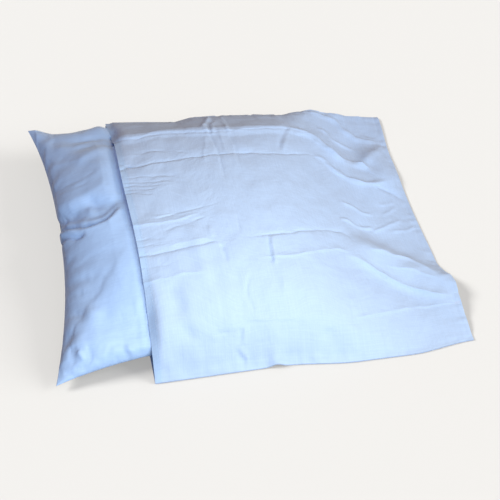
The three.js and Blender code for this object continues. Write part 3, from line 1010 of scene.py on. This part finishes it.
def front_notch(points):
    """How far the front seam stands up at the one place where it buckles."""
    away = points[:, Y] + BAG_HALF
    return 0.008 * np.exp(-(((points[:, X] + 0.086) / 0.013) ** 2)) * np.exp(-((away / 0.02) ** 2))


def sew_hem(panel, cloth):
    """The hem's row of stitches: one stitch is modelled, and copied along the hem."""
    tree = faces_tree(panel.data)
    across = -1 + cloth.hem_width / BAG_HALF
    path = bag_plan(np.full(400, across), np.linspace(-0.995, 0.995, 400))
    path[:, Z] = height_on(tree, path, from_above=True)
    steps = np.linalg.norm(np.diff(path, axis=0), axis=1)
    reached = np.concatenate([[0], np.cumsum(steps)])
    places = np.arange(cloth.stitch, reached[-1], cloth.stitch)
    bpy.ops.object.select_all(action="DESELECT")
    bpy.ops.mesh.primitive_uv_sphere_add(segments=6, ring_count=4, radius=1)
    stitch = bpy.context.object
    stitch.name = stitch.data.name = "hem_stitching"
    # A stitch is 70 per cent of the pitch, a thread wide, and dips into the cloth at both ends.
    stitch.scale = (0.0003, 0.35 * cloth.stitch, 0.00025)
    bpy.ops.object.transform_apply(location=False, rotation=False, scale=True)
    copies = []
    for place in places:
        at = np.array([np.interp(place, reached, path[:, axis]) for axis in (X, Y, Z)])
        ahead = np.array([np.interp(place + 0.001, reached, path[:, axis]) for axis in (X, Y, Z)])
        way = Vector(ahead - at).normalized()
        _, up, _, _ = tree.ray_cast(Vector((at[0], at[1], 1.0)), Vector((0, 0, -1)))
        side = way.cross(up).normalized()
        up = side.cross(way).normalized()
        turned = Matrix((side, way, up)).transposed().to_4x4()
        copy = stitch.copy()
        copy.data = stitch.data.copy()
        copy.data.transform(Matrix.Translation(Vector(at) + 0.0001 * up) @ turned)
        bpy.context.collection.objects.link(copy)
        copies.append(copy)
    bpy.data.objects.remove(stitch)
    only(copies[0])
    for copy in copies:
        copy.select_set(True)
    bpy.ops.object.join()
    sewing = bpy.context.object
    sewing.name = sewing.data.name = "hem_stitching"
    finish_piece(sewing, thread_material(cloth))
    return sewing


class PROTECTOR_OT_base_panel(bpy.types.Operator):
    """Makes the protector's lower panel, flat on the surface under the pillow and raised to the back seam"""

    bl_idname = "protector.base_panel"
    bl_label = "Base panel"

    def execute(self, context):
        cloth = context.scene.protector_cloth
        obj, flat, rows = add_cloth_grid("protector_base", 120, 120)
        points = bag_plan(flat[:, 0], flat[:, 1])
        heights = height_on(cad_tree("protector_base_panel"), lip_taken(points), from_above=False)
        heights[rows.ravel()] = blur(heights[rows], HEIGHT_ROUNDS).ravel()
        points[:, Z] = np.maximum(heights, 0) + cloth.thickness + front_notch(points)
        points += seam_shift(points, flat[:, 1], CLOTH_BACK_SHIFT)
        set_points(obj, points)
        solid = obj.modifiers.new("thickness", "SOLIDIFY")
        solid.thickness = cloth.thickness
        solid.offset = -1
        apply_modifiers(obj)
        finish_piece(obj, cotton_material(cloth), angle=math.radians(50))
        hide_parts("protector_base_panel")
        return {"FINISHED"}


class PROTECTOR_OT_top_panel(bpy.types.Operator):
    """Makes the protector's upper panel over the pillow, with its packet creases, folds, seam and hem"""

    bl_idname = "protector.top_panel"
    bl_label = "Top panel"

    def execute(self, context):
        cloth = context.scene.protector_cloth
        obj, flat, rows = add_cloth_grid("protector_top", cloth.cells, cloth.cells)
        # Columns crowd where short creases cross the cloth, and rows beside every long one.
        fine = np.linspace(-1, 1, 2001)
        weight = 1 + 0.6 * np.exp(-(((fine + 0.33) / 0.2) ** 2)) + 0.7 * np.exp(-(((fine - 0.65) / 0.3) ** 2))
        reached = np.cumsum(weight)
        columns = np.interp(np.linspace(reached[0], reached[-1], cloth.cells + 1), reached, fine)
        lanes = crowded(bag_plan, PACKET_CREASES + HEM_RIBS + EMPTY_END_FOLDS, cloth.cells)
        at = (columns + 1) / 2 * (len(lanes) - 1)
        lane = np.minimum(at.astype(int), len(lanes) - 2)
        share = (at - lane)[:, None]
        u, v = np.empty(len(flat)), np.empty(len(flat))
        u[rows] = columns
        v[rows] = (lanes[lane] * (1 - share) + lanes[lane + 1] * share).T

        points = cloth_surface(u, v, rows)
        normal = np.empty_like(points)
        normal[rows.ravel()] = normals_of(points[rows]).reshape(-1, 3)
        lift = np.zeros(len(points))
        for i, crease in enumerate(PACKET_CREASES + HEM_RIBS + CROSS_CREASES):
            lift += cloth.crease_depth * lay_crease(points, crease, 200 + 5 * i)
        for i, fold in enumerate(EMPTY_END_FOLDS):
            lift += lay_crease(points, fold, 600 + 5 * i)
        # The cotton never lies quite flat.
        lift += 0.0006 * waves(points, 0.07, 11) + 0.0003 * waves(points, 0.03, 12)
        # Long soft waves run down the front.
        front = np.clip((-0.04 - points[:, Y]) / 0.1, 0, 1) * np.clip((0.12 - points[:, X]) / 0.1, 0, 1)
        lift += 0.0009 * front * waves(points * (1, 0.22, 0), 0.05, 13)
        # The seam allowance inside the front, back and closed end gathers the edge.
        from_seam = BAG_HALF * np.minimum(1 - np.abs(v), 1 - u)
        seams = (
            (BAG_HALF * (1 - u), points[:, Y]),
            (BAG_HALF * (1 - v), points[:, X]),
            (BAG_HALF * (1 + v), points[:, X]),
        )
        for seed, (away, run) in enumerate(seams):
            lift -= 0.0008 * np.exp(-(((away - 0.013) / 0.003) ** 2))
            pull = waves(np.column_stack([run, away * 0.3]), 0.022, 60 + seed)
            lift += 0.0013 * pull * np.exp(-away / 0.016) * (1 - np.exp(-away / 0.004))
        # The turned hem at the open end is thicker, and dips at its stitching.
        hem = BAG_HALF * (1 + u)
        lift -= 0.0005 * np.exp(-(((hem - cloth.hem_width) / 0.0016) ** 2))
        rim = (np.abs(flat[:, 1]) > 0.9999) | (flat[:, 0] > 0.9999)
        lift[rim] = 0
        points += normal * lift[:, None]
        points[:, Z] = np.maximum(points[:, Z], TOP_REST) + front_notch(points)
        set_points(obj, points)
        # Two layers lie together inside the seams and at the hem: they are thicker there, and their deeper
        # blue is partly painted shade where the cloth turns down to its seams.
        allowance = np.clip((0.0165 - from_seam) / 0.002, 0, 1)
        doubled_shade_mask = np.maximum(allowance, 0.3 * (hem < cloth.hem_width + 0.0004))
        obj.data.attributes.new("layers", "FLOAT", "POINT").data.foreach_set("value", doubled_shade_mask)
        thick = obj.vertex_groups.new(name="layers")
        thick.add([i for i, away in enumerate(hem) if away >= cloth.hem_width], 0.5, "REPLACE")
        thick.add([i for i, away in enumerate(hem) if away < cloth.hem_width], 1.0, "REPLACE")
        solid = obj.modifiers.new("thickness", "SOLIDIFY")
        solid.thickness = 2 * cloth.thickness
        solid.offset = -1
        solid.vertex_group = thick.name
        apply_modifiers(obj)
        finish_piece(obj, cotton_material(cloth), angle=math.radians(60))
        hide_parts("protector_top_panel")
        sewing = sew_hem(obj, cloth)
        return {"FINISHED"}


def sees_backdrop(tree):
    """1 for the rays that show the pale backdrop itself, and 0 for those that light the pieces."""
    path = add_node(tree, "ShaderNodeLightPath")
    seen = path.outputs["Is Camera Ray"]
    for kind in ("Is Glossy Ray", "Is Transmission Ray"):
        either = add_node(tree, "ShaderNodeMath", {"operation": "MAXIMUM"}, _0=seen, _1=path.outputs[kind])
        seen = either.outputs[0]
    return seen


def add_sun(name, energy, colour, angle, azimuth, elevation):
    """A distant lamp with soft-edged shadows, at an azimuth from +X and an elevation, in degrees."""
    rotation = (math.radians(90 - elevation), 0, math.radians(90 + azimuth))
    bpy.ops.object.light_add(type="SUN", rotation=rotation)
    lamp = bpy.context.object
    lamp.name = name
    lamp.data.energy = energy
    lamp.data.color = colour
    lamp.data.angle = math.radians(angle)
    return lamp


class PROTECTOR_OT_stage(bpy.types.Operator):
    """Makes the pale floor, the soft studio light and the camera"""

    bl_idname = "protector.stage"
    bl_label = "Stage"

    def execute(self, context):
        look = context.scene.studio_look
        bpy.ops.object.select_all(action="DESELECT")
        bpy.ops.mesh.primitive_plane_add(size=30, location=(0, 0, -0.0004))
        floor = context.object
        floor.name = "floor"
        material, tree = new_material("painted_floor")
        # The floor looks pale, but throws back no more light than a dark one would.
        lit = add_node(tree, "ShaderNodeBsdfDiffuse", Color=hex_linear("#898989"), Roughness=0.0)
        own = add_node(tree, "ShaderNodeEmission", Color=tuple(look.floor), Strength=0.39)
        pale = add_node(tree, "ShaderNodeAddShader", _0=lit.outputs[0], _1=own.outputs[0])
        grey = add_node(tree, "ShaderNodeBsdfDiffuse", Color=hex_linear("#383633"), Roughness=0.0)
        shader = add_node(
            tree, "ShaderNodeMixShader", _0=sees_backdrop(tree), _1=grey.outputs[0], _2=pale.outputs[0],
        )
        add_node(tree, "ShaderNodeOutputMaterial", Surface=shader.outputs[0])
        floor.data.materials.append(material)

        world = bpy.data.worlds.new("studio")
        context.scene.world = world
        world.use_nodes = True
        tree = world.node_tree
        tree.nodes.clear()
        # The room is brighter to the right of the pillow and in front of it than on the other sides.
        way = add_node(tree, "ShaderNodeTexCoord")
        axes = add_node(tree, "ShaderNodeSeparateXYZ", Vector=way.outputs["Generated"])
        along_x = add_node(
            tree, "ShaderNodeVectorMath", {"operation": "MULTIPLY_ADD"},
            _0=axes.outputs["X"], _1=(0.36, 0.37, 0.32), _2=(0.437, 0.402, 0.430),
        )
        walls = add_node(
            tree, "ShaderNodeVectorMath", {"operation": "MULTIPLY_ADD"},
            _0=axes.outputs["Y"], _1=(-0.05, -0.20, -0.36), _2=along_x.outputs[0],
        )
        room = add_node(tree, "ShaderNodeBackground", Color=walls.outputs[0], Strength=1.0)
        seen = add_node(tree, "ShaderNodeBackground", Color=tuple(look.floor), Strength=1.0)
        both = add_node(
            tree, "ShaderNodeMixShader", _0=sees_backdrop(tree), _1=room.outputs[0], _2=seen.outputs[0],
        )
        add_node(tree, "ShaderNodeOutputWorld", Surface=both.outputs[0])

        # A window and a softbox light the pieces, and two lamps of its own give the floor soft shadows.
        window = add_sun("window", 0.645, (0.89, 0.88, 1.0), angle=24, azimuth=-50, elevation=22)
        azimuth, elevation = math.radians(-100), math.radians(50)
        raised = Vector((math.cos(elevation), 0, math.sin(elevation)))
        way = Matrix.Rotation(azimuth, 3, "Z") @ raised
        lit_spot, away = Vector((0.05, -0.08, 0.1)), 1.1
        bpy.ops.object.light_add(
            type="AREA", location=lit_spot + away * way, rotation=way.to_track_quat("Z", "Y").to_euler(),
        )
        softbox = context.object
        softbox.name = "softbox"
        softbox.data.shape = "DISK"
        softbox.data.size = 0.6
        softbox.data.energy = 7.8
        softbox.data.color = (0.97, 1.0, 0.93)
        warm = (1, 0.99, 0.945)
        high_lamp = add_sun("floor_high", 6.5, warm, angle=20, azimuth=165, elevation=35)
        low_lamp = add_sun("floor_low", 4.6, warm, angle=36, azimuth=-8, elevation=24)
        kept_off_floor = ((window, "EXCLUDE"), (softbox, "EXCLUDE"))
        for_floor_alone = ((high_lamp, "INCLUDE"), (low_lamp, "INCLUDE"))
        for lamp, state in kept_off_floor + for_floor_alone:
            lit = bpy.data.collections.new("lit_by_" + lamp.name)
            lit.objects.link(floor)
            lit.collection_objects[0].light_linking.link_state = state
            lamp.light_linking.receiver_collection = lit

        azimuth, elevation, roll = (math.radians(a) for a in (-19.1, 50.1, 8.5))
        turned = Matrix.Rotation(azimuth, 4, "Z") @ Matrix.Rotation(math.pi / 2 - elevation, 4, "X")
        turned = turned @ Matrix.Rotation(roll, 4, "Z")
        looked_at = Vector((-0.074, -0.031, 0))
        bpy.ops.object.camera_add(
            location=looked_at + turned.to_3x3() @ Vector((0, 0, look.distance)), rotation=turned.to_euler()
        )
        camera = context.object
        camera.data.lens = look.lens
        camera.data.sensor_width = 36
        context.scene.camera = camera
        context.scene.view_settings.view_transform = "Standard"
        return {"FINISHED"}


class PROTECTOR_PT_sidebar(bpy.types.Panel):
    """Lists the pieces and their sizes"""

    bl_idname = "PROTECTOR_PT_sidebar"
    bl_label = "Pillow Protector"
    bl_space_type = "VIEW_3D"
    bl_region_type = "UI"
    bl_category = "Protector"

    def draw(self, context):
        for name in ("protector_cloth", "pillow_casing", "studio_look"):
            group = getattr(context.scene, name)
            box = self.layout.box()
            for prop in group.bl_rna.properties:
                if prop.identifier not in {"rna_type", "name"}:
                    box.prop(group, prop.identifier)
        for operator in OPERATORS:
            self.layout.operator(operator.bl_idname)


GROUPS = {"protector_cloth": ProtectorCloth, "pillow_casing": PillowCasing, "studio_look": StudioLook}
OPERATORS = (PROTECTOR_OT_stage, PROTECTOR_OT_pillow, PROTECTOR_OT_base_panel, PROTECTOR_OT_top_panel)


def register():
    for cls in (*GROUPS.values(), *OPERATORS, PROTECTOR_PT_sidebar):
        bpy.utils.register_class(cls)
    for name, group in GROUPS.items():
        setattr(bpy.types.Scene, name, PointerProperty(type=group))


def unregister():
    for name in GROUPS:
        delattr(bpy.types.Scene, name)
    for cls in reversed((*GROUPS.values(), *OPERATORS, PROTECTOR_PT_sidebar)):
        bpy.utils.unregister_class(cls)


def main():
    register()
    bpy.ops.protector.stage()
    bpy.ops.protector.pillow()
    bpy.ops.protector.base_panel()
    bpy.ops.protector.top_panel()


if __name__ == "__main__":
    main()
